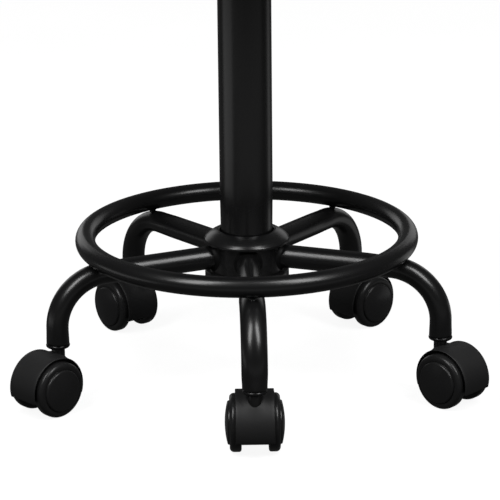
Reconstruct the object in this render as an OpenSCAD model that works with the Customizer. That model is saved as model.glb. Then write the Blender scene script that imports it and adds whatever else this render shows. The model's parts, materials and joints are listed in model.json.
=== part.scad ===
// Adjustable swivel stool: a five-leg tubular base with a foot ring and twin-wheel casters,
// a gas lift, and a round padded seat on a pressed plate with a release lever.
// Millimetres, +Z up. The origin is on the floor under the column, and leg 1 points along -Y.

/* [Hub] */
// Outside diameter of the hub shell
hub_d = 70; // [68:0.5:74]
// Wall of the hub shell
hub_wall = 3; // [2:0.5:3]
// Diameter of the domed collar on top of the hub
collar_d = 81; // [78:0.5:86]
// Diameter of the foot plate under the hub
foot_plate_d = 80; // [76:0.5:86]
// Height of the hub's underside above the floor
hub_bottom_z = 107; // [105:0.5:109]
// Height of the collar's top above the floor
hub_top_z = 154.5; // [153:0.5:157]

/* [Legs] */
// Outside diameter of the leg tube
leg_d = 22; // [20:0.5:23]
// Wall of the leg tube
leg_wall = 1.5; // [1:0.25:2]
// Distance from the column's axis to a leg's upright end
leg_reach = 188.5; // [180:0.5:200]
// Centre-line radius of the bend in a leg
bend_r = 49; // [45:0.5:52]
// Height at which the bend starts, above the upright end
bend_z = 78.5; // [77:0.5:81]
// Height of the open lower end of a leg
leg_end_z = 64.5; // [61:0.5:66]
// How far a leg falls from the hub to the bend, in degrees
leg_fall = 1.4; // [0.5:0.1:2]

/* [Foot ring] */
// Outside diameter of the ring's tube
ring_tube_d = 19; // [17:0.5:19]
// Centre-line radius of the ring
ring_r = 153; // [150:0.5:155]
// Height of the ring's centre line
ring_z = 147.3; // [147:0.1:149]
// Diameter of the short studs that carry the ring on the legs
stud_d = 6.5; // [5:0.5:8]

/* [Casters] */
// Wheel diameter
wheel_d = 53; // [52:0.5:55]
// Distance from the stem's axis to the axle
trail = 15.5; // [14:0.5:17]
// Outside diameter of the hood
hood_d = 60.4; // [59:0.2:61]
// Width of the hood over the wheels
hood_w = 35; // [32:0.5:36]
// Clear width between the two wheels
wheel_gap = 24.4; // [24:0.1:26]
// Overall width over both wheels
caster_w = 54.2; // [53:0.1:55]
// Diameter of the stem
stem_d = 11; // [10:0.5:11]
// Diameter of the axle
axle_d = 8; // [6:0.5:8]
// Running clearance of wheels and hood on their pins, radial
running_gap = 0.05; // [0.02:0.01:0.1]

/* [Gas lift] */
// Outside diameter of the column
column_d = 50; // [48:0.5:50]
// Height of the column's upper end
column_top_z = 390; // [385:1:394]
// Height at which the column starts to taper towards the hub
taper_top_z = 190; // [180:1:200]
// Stroke of the lift
lift_stroke = 200; // [120:10:200]
// Outside diameter of the sliding cylinder
cylinder_d = 28; // [27:0.5:28]
// Diameter of the piston rod
rod_d = 10; // [8:0.5:10]

/* [Seat] */
// Diameter of the padded seat
seat_d = 355; // [340:5:380]
// Height of the seat's top at the lowest setting
seat_top_z = 525; // [510:5:540]
// Diameter of the plywood board
board_d = 330; // [320:5:330]
// Thickness of the plywood board
board_t = 12; // [10:1:12]
// Side of the square mounting plate
plate_w = 150; // [140:5:160]
// Distance between the plate's bolt holes
bolt_spacing = 120; // [110:5:125]
// Reach of the release lever from the column's axis
lever_reach = 168; // [150:1:170]

/* [Hidden] */
$fn = 72;
leg_count = 5;
leg_pitch = 360 / leg_count;
// Directions in which the five casters trail, in degrees from +X
caster_heading = [89, -46, 41, 126, -137];

// Hub and column: a shallow cone, stated as radius lost per millimetre of height
column_r = column_d / 2;
cone_rate = 0.0125;
column_bottom_z = hub_bottom_z - 4;
column_floor_t = 3;
column_bore_r = 23;
cone_bore_r = 22.2;
collar_t = 10;
collar_bore_r = 26;
foot_plate_t = 8.5;
sleeve_r = 29.5;
leg_inner_end = hub_d / 2 - hub_wall - 1;
leg_lap = 0.5;
leg_draw = 0.04;
function cone_radius(z) = column_r - max(0, taper_top_z - z) * cone_rate;

// Thrust bearing, clip and bumper on the piston rod, from the column's floor upwards
rod_end_d = 8;
race_r = 13;
race_bore_r = 5.2;
race_t = 2.2;
ball_r = 1.5;
ball_pitch_r = 9;
ball_count = 10;
ball_gap = 0.05;
cage_t = 1;
race_low_z = column_bottom_z + column_floor_t;
ball_z = race_low_z + race_t + ball_gap + ball_r;
race_high_z = ball_z + ball_r + ball_gap;
rod_shoulder_z = race_high_z + race_t;
clip_t = 1.2;
clip_z = column_bottom_z - clip_t - 0.2;
clip_r = 7;
clip_groove_r = 3.2;
rod_bottom_z = clip_z - 3;
bumper_r = 12;
bumper_t = 13.5;

// Sliding cylinder, piston and release pin
cylinder_r = cylinder_d / 2;
cylinder_bore_r = 11.5;
cylinder_bottom_z = rod_shoulder_z + bumper_t + 1;
rod_guide_t = 20;
piston_t = 14;
piston_z = cylinder_bottom_z + lift_stroke + rod_guide_t + 5;
cylinder_cone_z = column_top_z + 5;
cylinder_top_z = column_top_z + 46;
cylinder_tip_r = 13;
valve_z = piston_z + piston_t + 9;
pin_r = 2.5;
pin_bottom_z = valve_z + 12;
pin_top_z = cylinder_top_z + 5;
bush_bottom_z = column_top_z - 90;
bush_cap_t = 3;
function cylinder_cone_radius(z) =
    cylinder_r - (cylinder_r - cylinder_tip_r) * (z - cylinder_cone_z) / (cylinder_top_z - cylinder_cone_z);

// Seat plate, a flange with a box in the middle for the lever
plate_t = 2.5;
plate_top_z = cylinder_top_z + 21;
plate_corner_r = 12;
box_x = 76;
box_y = 60;
box_bottom_z = cylinder_top_z - 4;
cone_socket_z = column_top_z + 7;
cone_socket_r = 19;
lever_r = 4;
lever_z = pin_top_z + lever_r + 0.4;
pivot_x = 20;
pivot_r = 2;
ear_y = 6;
ear_t = 2.5;
lever_drop_x = 38;
lever_bend = 35;
lever_drop_z = plate_top_z - 29;
grip_t = 9;
grip_w = 18;
grip_l = 48;
cover_t = 1;
cover_r = board_d / 2 + 5;
board_z = plate_top_z + cover_t;
bolt_r = 3;
bolt_head_r = 6.5;
bolt_head_t = 4;
nut_flange_r = 9;
nut_flange_t = 1.2;
nut_barrel_r = 4.2;
seat_edge_r = 16;
seat_hem_r = 6;

// Casters
wheel_r = wheel_d / 2;
wheel_in = wheel_gap / 2;
wheel_out = caster_w / 2;
hood_r = hood_d / 2;
hood_skin = 1.2;
// How far the hood wraps below the axle, at the trailing side and at the stem side
hood_low_back = 15;
hood_low_front = 20;
web_half = wheel_in - 1;
rim_round = 3.5;
rim_out = wheel_out - 4.3;
disc_r = 20;
disc_rise = 1.7;
stem_shoulder_z = 44;
stem_bottom_z = 30;
stem_top_z = leg_end_z + 21;
neck_r = stem_d / 2 + 0.7;
socket_flange_t = 4;
socket_flange_r = leg_d / 2 + 0.2;
socket_top_z = bend_z;

leg_list = [1:leg_count];

// ---- Placing ----

function leg_angle(k) = -90 + leg_pitch * (k - 1);

// Turns a leg drawn along +X to leg k
module on_leg(k) {
    rotate([0, 0, leg_angle(k)]) children();
}

// Puts a caster drawn at the origin, trailing along +X, under leg k
module on_caster(k) {
    a = leg_angle(k);
    translate([leg_reach * cos(a), leg_reach * sin(a), 0])
        rotate([0, 0, caster_heading[k - 1]]) children();
}

// Lays a shape drawn round +Z along the axle, outwards to the given side (1 or -1)
module on_axle(side) {
    translate([trail, 0, wheel_r]) rotate([side * -90, 0, 0]) children();
}

module ring_washer(outer, inner, z, t) {
    translate([0, 0, z]) difference() {
        cylinder(r = outer, h = t);
        translate([0, 0, -1]) cylinder(r = inner, h = t + 2);
    }
}

// ---- Base ----

// The stretches of a leg's centre line as solids of radius r: falling, bent, upright
module leg_fall_run(r, spare = 0) {
    run = (leg_reach - bend_r + bend_r * sin(leg_fall) - leg_inner_end) / cos(leg_fall);
    translate([leg_reach - bend_r, 0, bend_z]) rotate([90, 0, 0]) rotate([0, 0, 90 - leg_fall])
        translate([bend_r, -leg_lap, 0]) rotate([-90, 0, 0]) cylinder(r = r, h = run + leg_lap + spare);
}

module leg_bend(r) {
    translate([leg_reach - bend_r, 0, bend_z]) rotate([90, 0, 0])
        rotate_extrude(angle = 90 - leg_fall) translate([bend_r, 0]) circle(r = r);
}

module leg_upright(r, spare = 0) {
    translate([leg_reach, 0, leg_end_z - spare]) cylinder(r = r, h = bend_z - leg_end_z + spare);
}

// The drawn tube is a hair slimmer and thinner-walled along its straight run than in the bend
module leg() {
    bore_r = leg_d / 2 - leg_wall;
    color("#1c1c1e") {
        difference() {
            union() {
                leg_upright(leg_d / 2);
                leg_bend(leg_d / 2);
            }
            leg_upright(bore_r, 3);
            leg_bend(bore_r);
        }
        difference() {
            leg_fall_run(leg_d / 2 - leg_draw);
            leg_fall_run(bore_r + leg_draw, 3);
        }
    }
}

module hub_shell() {
    color("#1c1c1e") difference() {
        translate([0, 0, hub_bottom_z + foot_plate_t])
            cylinder(d = hub_d, h = hub_top_z - collar_t - hub_bottom_z - foot_plate_t);
        translate([0, 0, hub_bottom_z]) cylinder(d = hub_d - 2 * hub_wall, h = 60);
        for (k = leg_list) on_leg(k) leg_fall_run(leg_d / 2 - leg_draw);
    }
}

module hub_collar() {
    shoulder_r = collar_d / 2 - collar_t;
    color("#1c1c1e") rotate_extrude() translate([0, hub_top_z - collar_t]) {
        translate([collar_bore_r, 0]) square([shoulder_r - collar_bore_r, collar_t]);
        translate([shoulder_r, 0]) intersection() {
            circle(r = collar_t);
            square(collar_t);
        }
    }
}

module hub_foot_plate() {
    color("#1c1c1e") difference() {
        translate([0, 0, hub_bottom_z]) cylinder(d = foot_plate_d, h = foot_plate_t);
        translate([0, 0, hub_bottom_z - 1])
            cylinder(r = cone_radius(hub_bottom_z + foot_plate_t) + 0.3, h = foot_plate_t + 2);
    }
}

module taper_sleeve() {
    low = hub_bottom_z + foot_plate_t;
    high = hub_top_z - collar_t;
    color("#55565a") rotate_extrude() polygon([
        [cone_radius(low), low], [sleeve_r, low], [sleeve_r, high], [cone_radius(high), high]]);
}

module foot_ring() {
    color("#1c1c1e") translate([0, 0, ring_z]) rotate_extrude()
        translate([ring_r, 0]) difference() {
            circle(d = ring_tube_d);
            circle(d = ring_tube_d - 2.4);
        }
}

module ring_studs() {
    $fn = 240;
    color("#1c1c1e") for (k = leg_list) difference() {
        on_leg(k) translate([ring_r, 0, ring_z - ring_tube_d / 2 - 4])
            cylinder(d = stud_d, h = ring_tube_d / 2);
        translate([0, 0, ring_z]) rotate_extrude() translate([ring_r, 0]) circle(d = ring_tube_d);
        on_leg(k) leg_bend(leg_d / 2);
    }
}

module stem_socket() {
    bore_r = stem_d / 2;
    color("#2a2a2c") translate([leg_reach, 0, 0]) rotate_extrude() {
        translate([bore_r, leg_end_z - socket_flange_t])
            square([leg_d / 2 - leg_wall - bore_r, socket_top_z - leg_end_z + socket_flange_t]);
        translate([bore_r, leg_end_z - socket_flange_t])
            square([socket_flange_r - socket_flange_t / 2 - bore_r, socket_flange_t]);
        translate([socket_flange_r - socket_flange_t / 2, leg_end_z - socket_flange_t / 2])
            circle(d = socket_flange_t);
    }
}

// ---- Gas lift ----

module lift_tube() {
    color("#1c1c1e") rotate_extrude() polygon([
        [rod_end_d / 2 + running_gap, column_bottom_z],
        [cone_radius(column_bottom_z), column_bottom_z],
        [column_r, taper_top_z],
        [column_r, column_top_z],
        [column_bore_r, column_top_z],
        [column_bore_r, taper_top_z + 10],
        [cone_bore_r, taper_top_z],
        [cone_bore_r, race_low_z],
        [rod_end_d / 2 + running_gap, race_low_z]]);
}

module guide_bush() {
    color("#202022") difference() {
        union() {
            translate([0, 0, bush_bottom_z]) cylinder(r = column_bore_r, h = column_top_z - bush_bottom_z);
            translate([0, 0, column_top_z]) cylinder(r = column_r - 1, h = bush_cap_t);
        }
        translate([0, 0, bush_bottom_z - 1]) cylinder(r = cylinder_r + running_gap, h = 120);
    }
}

module bearing_race_lower() {
    color("silver") ring_washer(race_r, race_bore_r, race_low_z, race_t);
}

module bearing_race_upper() {
    color("silver") ring_washer(race_r, rod_end_d / 2, race_high_z, race_t);
}

// A flat cage with its loose balls
module bearing_balls() {
    color("silver") {
        difference() {
            ring_washer(race_r - 0.5, race_bore_r + 1, ball_z - cage_t / 2, cage_t);
            for (i = [1:ball_count]) rotate([0, 0, i * 360 / ball_count])
                translate([ball_pitch_r, 0, ball_z - cage_t]) cylinder(r = ball_r + ball_gap, h = 2 * cage_t);
        }
        for (i = [1:ball_count]) rotate([0, 0, i * 360 / ball_count])
            translate([ball_pitch_r, 0, ball_z]) sphere(r = ball_r);
    }
}

module retaining_clip() {
    color("silver") difference() {
        ring_washer(clip_r, clip_groove_r, clip_z, clip_t);
        translate([0, -clip_groove_r, clip_z - 1]) cube([clip_r + 1, 2 * clip_groove_r, clip_t + 2]);
    }
}

module stop_bumper() {
    color("#2b2b2b") difference() {
        translate([0, 0, rod_shoulder_z]) cylinder(r = bumper_r, h = bumper_t);
        translate([0, 0, rod_shoulder_z - 1]) cylinder(d = rod_d, h = bumper_t + 2);
    }
}

module piston_rod() {
    color("silver") difference() {
        union() {
            translate([0, 0, rod_bottom_z]) cylinder(d = rod_end_d, h = rod_shoulder_z - rod_bottom_z);
            translate([0, 0, rod_shoulder_z]) cylinder(d = rod_d, h = piston_z + piston_t + 4 - rod_shoulder_z);
            translate([0, 0, piston_z]) cylinder(r = cylinder_bore_r - 0.1, h = piston_t);
        }
        ring_washer(rod_end_d, clip_groove_r, clip_z, clip_t);
    }
}

module lift_cylinder() {
    color("#17171a") difference() {
        rotate_extrude() polygon([
            [0, cylinder_bottom_z], [cylinder_r, cylinder_bottom_z], [cylinder_r, cylinder_cone_z],
            [cylinder_tip_r, cylinder_top_z], [0, cylinder_top_z]]);
        translate([0, 0, cylinder_bottom_z + rod_guide_t])
            cylinder(r = cylinder_bore_r, h = valve_z - cylinder_bottom_z - rod_guide_t);
        translate([0, 0, cylinder_bottom_z - 1]) cylinder(r = rod_d / 2 + running_gap, h = rod_guide_t + 2);
        translate([0, 0, pin_bottom_z - 4]) cylinder(r = pin_r + running_gap, h = 80);
    }
}

module release_pin() {
    color("#8a8d92") translate([0, 0, pin_bottom_z]) cylinder(r = pin_r, h = pin_top_z - pin_bottom_z);
}

// ---- Seat ----

module rounded_square(side, corner, t) {
    inner = side / 2 - corner;
    translate([-side / 2, -inner, 0]) cube([side, 2 * inner, t]);
    translate([-inner, -side / 2, 0]) cube([2 * inner, side, t]);
    for (x = [-inner, inner], y = [-inner, inner]) translate([x, y, 0]) cylinder(r = corner, h = t);
}

module at_bolts() {
    for (x = [-1, 1], y = [-1, 1]) translate([x * bolt_spacing / 2, y * bolt_spacing / 2, 0]) children();
}

module seat_plate() {
    color("#1c1c1e") difference() {
        union() {
            translate([0, 0, plate_top_z - plate_t]) rounded_square(plate_w, plate_corner_r, plate_t);
            translate([-box_x / 2, -box_y / 2, box_bottom_z]) cube([box_x, box_y, plate_top_z - box_bottom_z]);
        }
        difference() {
            translate([plate_t - box_x / 2, plate_t - box_y / 2, box_bottom_z + plate_t])
                cube([box_x - 2 * plate_t, box_y - 2 * plate_t, 40]);
            for (side = [-1, 1]) translate([pivot_x - 6, side * (ear_y + ear_t / 2) - ear_t / 2, box_bottom_z])
                cube([12, ear_t, lever_z + 4 - box_bottom_z]);
        }
        // Opening for the cylinder, lever slot, pivot holes and bolt holes
        translate([0, 0, box_bottom_z - 1])
            cylinder(r = cylinder_cone_radius(box_bottom_z), h = plate_t + 2);
        translate([box_x / 2 - 10, -lever_r - 1.5, box_bottom_z + 5])
            cube([20, 2 * lever_r + 3, plate_top_z - plate_t - box_bottom_z - 5]);
        translate([pivot_x, 30, lever_z]) rotate([90, 0, 0]) cylinder(r = pivot_r + running_gap, h = 60);
        at_bolts() translate([0, 0, plate_top_z - 20]) cylinder(r = bolt_r + 0.3, h = 40);
    }
}

module cone_socket() {
    color("#1c1c1e") rotate_extrude() polygon([
        [cylinder_cone_radius(cone_socket_z), cone_socket_z], [cone_socket_r - 2, cone_socket_z],
        [cone_socket_r, cone_socket_z + 4], [cone_socket_r, box_bottom_z],
        [cylinder_cone_radius(box_bottom_z), box_bottom_z]]);
}

// A round rod between two points in the XZ plane, with a slightly proud ball at its first end
module rod_between(a, b, r) {
    step = b - a;
    translate([a[0], 0, a[1]]) rotate([0, atan2(step[0], step[1]), 0]) cylinder(r = r, h = norm(step));
    translate([a[0], 0, a[1]]) sphere(r = r + 0.3);
}

module release_lever() {
    lower_x = lever_drop_x + (lever_z - lever_drop_z) / tan(lever_bend);
    color("#2a2a2c") {
        rod_between([-5, lever_z], [lever_drop_x, lever_z], lever_r);
        rod_between([lever_drop_x, lever_z], [lower_x, lever_drop_z], lever_r);
        rod_between([lower_x, lever_drop_z], [lever_reach - 12, lever_drop_z], lever_r);
        translate([pivot_x, ear_y + ear_t, lever_z]) rotate([90, 0, 0])
            cylinder(r = pivot_r, h = 2 * (ear_y + ear_t));
    }
}

module lever_grip() {
    start = lever_reach - grip_l;
    color("#202022") difference() {
        union() {
            translate([start + 6, -grip_w / 2, lever_drop_z - grip_t / 2])
                cube([grip_l - 6 - grip_w / 2, grip_w, grip_t]);
            translate([lever_reach - grip_w / 2, 0, lever_drop_z - grip_t / 2]) cylinder(d = grip_w, h = grip_t);
            translate([start, 0, lever_drop_z]) rotate([0, 90, 0]) cylinder(r = lever_r + 2.5, h = 12);
        }
        translate([start - 1, 0, lever_drop_z]) rotate([0, 90, 0]) cylinder(r = lever_r, h = grip_l - 11);
    }
}

module seat_board() {
    color("burlywood") difference() {
        translate([0, 0, board_z]) cylinder(d = board_d, h = board_t);
        at_bolts() translate([0, 0, board_z - 1]) cylinder(r = nut_barrel_r, h = board_t + 2);
        at_bolts() translate([0, 0, board_z + board_t - nut_flange_t]) cylinder(r = nut_flange_r, h = 5);
    }
}

module tee_nuts() {
    color("silver") at_bolts() difference() {
        union() {
            translate([0, 0, board_z + 3]) cylinder(r = nut_barrel_r, h = board_t - 3);
            translate([0, 0, board_z + board_t - nut_flange_t]) cylinder(r = nut_flange_r, h = nut_flange_t);
        }
        translate([0, 0, board_z]) cylinder(r = bolt_r, h = board_t + 2);
    }
}

module seat_bolts() {
    head_z = plate_top_z - plate_t - bolt_head_t;
    color("silver") at_bolts() {
        difference() {
            translate([0, 0, head_z]) cylinder(r = bolt_head_r, h = bolt_head_t);
            translate([0, 0, head_z - 1]) cylinder(r = 2.9, h = 3.2, $fn = 6);
        }
        translate([0, 0, head_z + bolt_head_t]) cylinder(r = bolt_r, h = board_z + board_t - 2 - head_z - bolt_head_t);
    }
}

module dust_cover() {
    color("#2a2a2c") difference() {
        translate([0, 0, plate_top_z]) cylinder(r = cover_r, h = cover_t);
        at_bolts() translate([0, 0, plate_top_z - 1]) cylinder(r = bolt_r + 0.3, h = cover_t + 2);
    }
}

module seat_cushion() {
    foam_z = board_z + board_t;
    inner = seat_d / 2 - seat_edge_r;
    color("#202124") rotate_extrude() {
        translate([0, foam_z]) square([inner, seat_top_z - foam_z]);
        translate([inner, foam_z]) square([seat_edge_r, seat_top_z - seat_edge_r - foam_z]);
        translate([inner, seat_top_z - seat_edge_r]) intersection() {
            circle(r = seat_edge_r);
            square(seat_edge_r);
        }
        translate([board_d / 2, board_z + seat_hem_r])
            square([seat_d / 2 - board_d / 2, foam_z - board_z - seat_hem_r]);
        translate([board_d / 2, board_z]) square([seat_d / 2 - board_d / 2 - seat_hem_r, seat_hem_r]);
        translate([seat_d / 2 - seat_hem_r, board_z + seat_hem_r]) intersection() {
            circle(r = seat_hem_r);
            translate([0, -seat_hem_r]) square(seat_hem_r);
        }
    }
}

// ---- Casters ----

module caster_stem() {
    flange_z = leg_end_z - socket_flange_t;
    color("#1c1c1e") {
        translate([0, 0, stem_bottom_z]) cylinder(d = stem_d, h = stem_shoulder_z + 0.2 - stem_bottom_z);
        translate([0, 0, stem_shoulder_z + 0.2]) cylinder(r = neck_r, h = flange_z - stem_shoulder_z - 0.2);
        translate([0, 0, flange_z]) cylinder(d = stem_d, h = stem_top_z - flange_z);
    }
}

// A one-piece hood over both wheels, with a solid web between them
module caster_hood() {
    sweep = 180 + hood_low_back + hood_low_front;
    color("#1a1a1c") difference() {
        translate([trail, 0, wheel_r]) rotate([90, 0, 0]) {
            rotate_extrude(angle = sweep, start = -hood_low_back) {
                translate([0, -web_half]) square([hood_r - hood_skin, 2 * web_half]);
                translate([hood_r - hood_skin, -hood_w / 2]) square([hood_skin, hood_w]);
            }
            translate([0, 0, -web_half]) cylinder(r = 13, h = 2 * web_half);
        }
        translate([0, 0, stem_bottom_z - 1]) cylinder(r = stem_d / 2 + running_gap, h = 60);
        translate([0, 0, stem_shoulder_z]) cylinder(r = neck_r + 0.4, h = 30);
        on_axle(1) translate([0, 0, -20]) cylinder(d = axle_d, h = 40);
    }
}

module caster_axle() {
    half = rim_out - 1.5;
    color("silver") on_axle(1) translate([0, 0, -half]) cylinder(d = axle_d, h = 2 * half);
}

// A wheel with a rounded rim, a raised and slightly domed disc, and a recess behind
module wheel() {
    dome_h = wheel_out - rim_out - disc_rise;
    dome_r = (disc_r * disc_r + dome_h * dome_h) / (2 * dome_h);
    color("#18181a") difference() {
        rotate_extrude() {
            translate([0, wheel_in]) square([wheel_r - rim_round, rim_out - wheel_in]);
            translate([wheel_r - rim_round, wheel_in]) square([rim_round, rim_out - wheel_in - rim_round]);
            translate([wheel_r - rim_round, rim_out - rim_round]) circle(r = rim_round);
            intersection() {
                translate([0, wheel_out - dome_r]) circle(r = dome_r, $fn = 300);
                translate([0, wheel_in]) square([disc_r, 20]);
            }
        }
        rotate_extrude() translate([8, wheel_in - 1]) square([15, 4.5]);
        translate([0, 0, wheel_in - 1]) cylinder(r = axle_d / 2 + running_gap, h = rim_out - wheel_in);
    }
}

// ---- Assembly ----

hub_shell();
hub_collar();
hub_foot_plate();
taper_sleeve();
for (k = leg_list) on_leg(k) leg();
for (k = leg_list) on_leg(k) stem_socket();
foot_ring();
ring_studs();
lift_tube();
guide_bush();
bearing_race_lower();
bearing_balls();
bearing_race_upper();
retaining_clip();
stop_bumper();
piston_rod();
lift_cylinder();
release_pin();
seat_plate();
cone_socket();
release_lever();
lever_grip();
seat_board();
tee_nuts();
seat_bolts();
dust_cover();
seat_cushion();
for (k = leg_list) on_caster(k) caster_stem();
for (k = leg_list) on_caster(k) caster_hood();
for (k = leg_list) on_caster(k) caster_axle();
for (k = leg_list) on_caster(k) on_axle(1) wheel();
for (k = leg_list) on_caster(k) on_axle(-1) wheel();
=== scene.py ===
"""Adjustable swivel stool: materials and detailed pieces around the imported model."""
import json
import math

import bmesh
import bpy
from mathutils import Matrix, Vector, noise
from mathutils.bvhtree import BVHTree


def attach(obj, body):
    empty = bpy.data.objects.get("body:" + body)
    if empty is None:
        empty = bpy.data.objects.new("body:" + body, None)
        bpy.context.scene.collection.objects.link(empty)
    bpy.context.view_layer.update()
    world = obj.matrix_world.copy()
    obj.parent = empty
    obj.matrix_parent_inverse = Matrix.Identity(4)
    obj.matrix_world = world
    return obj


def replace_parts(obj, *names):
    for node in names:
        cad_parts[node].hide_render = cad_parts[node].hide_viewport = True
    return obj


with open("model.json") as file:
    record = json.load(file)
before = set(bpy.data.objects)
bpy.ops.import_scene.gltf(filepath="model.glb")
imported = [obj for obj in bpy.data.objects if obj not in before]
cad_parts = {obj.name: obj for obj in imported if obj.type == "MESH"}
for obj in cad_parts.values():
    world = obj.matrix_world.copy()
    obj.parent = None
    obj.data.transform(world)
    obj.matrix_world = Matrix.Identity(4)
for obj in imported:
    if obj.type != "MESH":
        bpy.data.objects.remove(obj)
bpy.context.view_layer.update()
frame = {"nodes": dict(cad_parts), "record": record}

nodes = frame["nodes"]
LEGS = range(1, 6)
TAU = 2 * math.pi

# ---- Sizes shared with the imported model, in metres ----

LEG_REACH = 0.1885
BEND_R = 0.049
BEND_Z = 0.0785
LEG_END_Z = 0.0645
LEG_FALL = math.radians(1.4)
LEG_R = 0.011
HUB_R = 0.035
RING_R = 0.153
RING_Z = 0.1473
RING_TUBE_R = 0.0095
TRAIL = 0.0155
AXLE_Z = 0.0265
HEADINGS = [89, -46, 41, 126, -137]


def leg_turn(k):
    return math.radians(-90 + 72 * (k - 1))


def caster_frame(k):
    """The matrix that takes a caster drawn at the origin, trailing along +X, to its place under leg k."""
    a = leg_turn(k)
    place = Vector((LEG_REACH * math.cos(a), LEG_REACH * math.sin(a), 0))
    return Matrix.Translation(place) @ Matrix.Rotation(math.radians(HEADINGS[k - 1]), 4, "Z")


# ---- Node helpers for materials ----


class Paint:
    """A material under construction: shader node calls with less wiring."""

    def __init__(self, name):
        self.material = bpy.data.materials.new(name)
        self.material.use_nodes = True
        self.tree = self.material.node_tree
        self.shader = self.tree.nodes["Principled BSDF"]
        self.coords = self.tree.nodes.new("ShaderNodeTexCoord").outputs["Object"]

    def add(self, kind, inputs=(), **settings):
        node = self.tree.nodes.new("ShaderNode" + kind)
        for key, value in settings.items():
            setattr(node, key, value)
        for key, value in dict(inputs).items():
            if isinstance(value, bpy.types.NodeSocket):
                self.tree.links.new(value, node.inputs[key])
            else:
                node.inputs[key].default_value = value
        return node

    def noise(self, scale, detail=3, rough=0.5, coords=None):
        inputs = {"Vector": coords or self.coords, "Scale": scale, "Detail": detail, "Roughness": rough}
        return self.add("TexNoise", inputs).outputs["Fac"]

    def stretch(self, scale):
        return self.add("Mapping", {"Vector": self.coords, "Scale": scale}).outputs["Vector"]

    def span(self, value, low, high, out_low, out_high):
        limits = {"From Min": low, "From Max": high, "To Min": out_low, "To Max": out_high}
        return self.add("MapRange", {"Value": value, **limits}).outputs["Result"]

    def mix(self, factor, a, b, blend="MIX"):
        node = self.add("Mix", {"Factor": factor}, data_type="RGBA", blend_type=blend)
        for socket, value in ((node.inputs[6], a), (node.inputs[7], b)):
            if isinstance(value, bpy.types.NodeSocket):
                self.tree.links.new(value, socket)
            else:
                socket.default_value = (*value, 1)
        return node.outputs[2]

    def math(self, operation, a, b=0.0):
        node = self.add("Math", operation=operation)
        for socket, value in zip(node.inputs, (a, b)):
            if isinstance(value, bpy.types.NodeSocket):
                self.tree.links.new(value, socket)
            else:
                socket.default_value = value
        return node.outputs[0]

    def bump(self, height, distance, strength=1.0, under=None):
        node = self.add("Bump", {"Height": height, "Distance": distance, "Strength": strength})
        if under:
            self.tree.links.new(under, node.inputs["Normal"])
        return node.outputs["Normal"]

    def edges(self, low=0.58, high=0.72):
        """1 on sharp outer edges, 0 elsewhere."""
        pointed = self.add("NewGeometry").outputs["Pointiness"]
        return self.span(pointed, low, high, 0, 1)

    def set(self, **values):
        for key, value in values.items():
            socket = self.shader.inputs[key.replace("_", " ")]
            if isinstance(value, bpy.types.NodeSocket):
                self.tree.links.new(value, socket)
            elif isinstance(value, tuple):
                socket.default_value = (*value, 1)
            else:
                socket.default_value = value
        return self.material


def coated_steel(name, tone, rough, peel):
    """Black powder coat: faint orange peel, clouded gloss, fine dust specks and rubbed edges."""
    p = Paint(name)
    cloud = p.noise(9, 3, 0.5)
    speck = p.span(p.noise(2600, 2), 0.70, 0.80, 0, 0.25)
    rubbed = p.math("MULTIPLY", p.edges(), p.span(p.noise(240, 4), 0.45, 0.7, 0, 0.35))
    colour = p.mix(cloud, tone, tuple(c * 1.35 for c in tone))
    colour = p.mix(speck, colour, (0.02, 0.02, 0.0205))
    colour = p.mix(rubbed, colour, (0.035, 0.035, 0.036))
    clouded = p.span(cloud, 0.3, 0.7, rough - 0.02, rough + 0.02)
    roughness = p.math("ADD", clouded, p.math("MULTIPLY", speck, 0.2))
    skin = p.bump(p.noise(700, 2, 0.4), 0.00002, peel)
    return p.set(Base_Color=colour, Roughness=roughness, Normal=skin, Specular_IOR_Level=0.5)


def moulded(name, tone, rough, grain):
    """Moulded plastic: fine spark-eroded grain, soft flow clouds, paler scuffs on the edges."""
    p = Paint(name)
    cloud = p.noise(35, 3)
    scuff = p.math("MULTIPLY", p.edges(), p.span(p.noise(380, 5, 0.7), 0.5, 0.72, 0, 0.8))
    colour = p.mix(cloud, tone, tuple(c * 1.2 for c in tone))
    colour = p.mix(scuff, colour, tuple(c * 2.5 + 0.006 for c in tone))
    fine = p.noise(4200, 2)
    clouded = p.span(cloud, 0.3, 0.7, rough - 0.03, rough + 0.05)
    roughness = p.math("ADD", clouded, p.math("MULTIPLY", scuff, 0.2))
    skin = p.bump(fine, 0.00003, grain, p.bump(p.noise(60, 2), 0.0004, 0.08))
    return p.set(Base_Color=colour, Roughness=roughness, Normal=skin, Specular_IOR_Level=0.3)


def bright_steel(name, tone, rough):
    """Plated or turned steel: fine lines round the axis, dulled in patches."""
    p = Paint(name)
    lines = p.noise(900, 2, 0.5, p.stretch((0.15, 0.15, 2.5)))
    dull = p.noise(120, 4, 0.6)
    colour = p.mix(dull, tone, tuple(c * 0.72 for c in tone))
    roughness = p.span(dull, 0.3, 0.75, rough - 0.05, rough + 0.16)
    return p.set(Base_Color=colour, Roughness=roughness, Metallic=1.0, Normal=p.bump(lines, 0.00002, 0.5))


def rubber(name):
    """Black rubber with a greyish bloom."""
    p = Paint(name)
    bloom = p.noise(150, 5, 0.7)
    colour = p.mix(bloom, (0.012, 0.012, 0.012), (0.035, 0.034, 0.033))
    skin = p.bump(p.noise(2500, 2), 0.00004, 0.6)
    return p.set(Base_Color=colour, Roughness=p.span(bloom, 0.3, 0.7, 0.62, 0.82), Normal=skin)


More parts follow.
